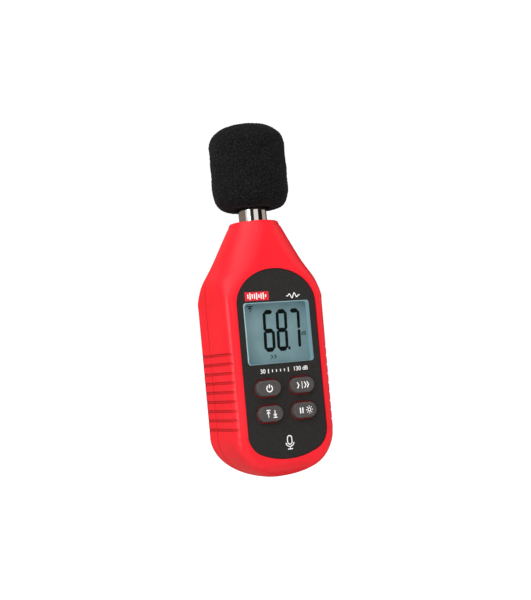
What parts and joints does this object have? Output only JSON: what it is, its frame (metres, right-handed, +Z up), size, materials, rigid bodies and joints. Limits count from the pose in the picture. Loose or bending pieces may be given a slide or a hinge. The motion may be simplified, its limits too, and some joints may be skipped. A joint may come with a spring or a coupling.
{
  "type": "sound level meter",
  "caption": "Handheld sound level meter: two-part case with display and keys, metal microphone tube, foam windscreen and a sliding battery door.",
  "frame": {"origin": "centre of the tripod bush's mouth, in the flat back of the case", "axes": "+Z up along the microphone, -Y out of the display, +X to the right as the display is read"},
  "size_m": [0.0528, 0.036, 0.1651],
  "materials": {
    "case_plastic": "red moulded ABS, satin gloss",
    "label_film": "dark grey printed polycarbonate film, fine matt grain",
    "clear_window": "clear polished acrylic",
    "lcd_glass": "grey-green liquid crystal display glass",
    "light_guide": "clear to milky acrylic light guide",
    "white_plastic": "white moulded plastic",
    "grey_foam": "dark foam gasket",
    "rubber_strip": "conductive rubber strip",
    "key_plastic": "dark grey moulded silicone rubber",
    "plunger_plastic": "black nylon",
    "switch_metal": "tinned steel",
    "circuit_board": "green solder mask on glass fibre",
    "chip_epoxy": "black moulded epoxy",
    "capacitor_can": "bare aluminium can",
    "pot_blue": "blue moulded plastic",
    "screw_steel": "zinc-plated steel",
    "bush_brass": "turned brass",
    "tube_chrome": "polished chrome plate",
    "capsule_metal": "aluminium can",
    "black_rubber": "black rubber",
    "wire_red": "red wire insulation",
    "wire_black": "black wire insulation",
    "cell_jacket": "plain dark cell jacket",
    "contact_nickel": "nickel-plated spring steel",
    "rear_label_film": "plain silver-grey film",
    "windscreen_foam": "black open-cell foam"
  },
  "bodies": {
    "housing": {"front_shell": "case_plastic", "back_shell": "case_plastic", "face_label": "label_film", "display_window": "clear_window", "lcd_gasket": "grey_foam", "lcd_panel": "lcd_glass", "light_guide": "light_guide", "lcd_frame": "white_plastic", "zebra_strip": "rubber_strip", "backlight_leds": "white_plastic", "key_switches": "switch_metal", "main_board": "circuit_board", "microcontroller": "chip_epoxy", "detector_chip": "chip_epoxy", "preamp_chip": "chip_epoxy", "capacitors": "capacitor_can", "crystal": "switch_metal", "resistors": "chip_epoxy", "trim_pot": "pot_blue", "board_screws": "screw_steel", "housing_screws": "screw_steel", "tripod_bush": "bush_brass", "mic_tube": "tube_chrome", "mic_grille": "tube_chrome", "mic_capsule": "capsule_metal", "mic_sleeve": "black_rubber", "mic_holder": "plunger_plastic", "neck_seal": "black_rubber", "mic_lead_red": "wire_red", "mic_lead_black": "wire_black", "cell_left": "cell_jacket", "cell_middle": "cell_jacket", "cell_right": "cell_jacket", "battery_springs": "contact_nickel", "lower_bridge_contact": "contact_nickel", "upper_bridge_contact": "contact_nickel", "positive_contact": "contact_nickel", "negative_contact": "contact_nickel", "battery_lead_red": "wire_red", "battery_lead_black": "wire_black"},
    "power_key": {"power_key": "key_plastic", "power_plunger": "plunger_plastic"},
    "response_key": {"response_key": "key_plastic", "response_plunger": "plunger_plastic"},
    "peak_key": {"peak_key": "key_plastic", "peak_plunger": "plunger_plastic"},
    "hold_key": {"hold_key": "key_plastic", "hold_plunger": "plunger_plastic"},
    "battery_door": {"battery_door": "case_plastic", "rear_label": "rear_label_film"},
    "windscreen": {"windscreen": "windscreen_foam"}
  },
  "joints": [
    {"name": "power_press", "type": "slide", "parent": "housing", "child": "power_key", "axis": [0, 1, 0], "range_m": [0, 0.0009], "stiffness_N_per_m": 1500, "springref_m": -0.0003},
    {"name": "response_press", "type": "slide", "parent": "housing", "child": "response_key", "axis": [0, 1, 0], "range_m": [0, 0.0009], "stiffness_N_per_m": 1500, "springref_m": -0.0003},
    {"name": "peak_press", "type": "slide", "parent": "housing", "child": "peak_key", "axis": [0, 1, 0], "range_m": [0, 0.0009], "stiffness_N_per_m": 1500, "springref_m": -0.0003},
    {"name": "hold_press", "type": "slide", "parent": "housing", "child": "hold_key", "axis": [0, 1, 0], "range_m": [0, 0.0009], "stiffness_N_per_m": 1500, "springref_m": -0.0003},
    {"name": "battery_door_slide", "type": "slide", "parent": "housing", "child": "battery_door", "axis": [0, 0, -1], "range_m": [0, 0.05]},
    {"name": "windscreen_pull", "type": "slide", "parent": "housing", "child": "windscreen", "axis": [0, 0, 1], "range_m": [0, 0.026]}
  ]
}
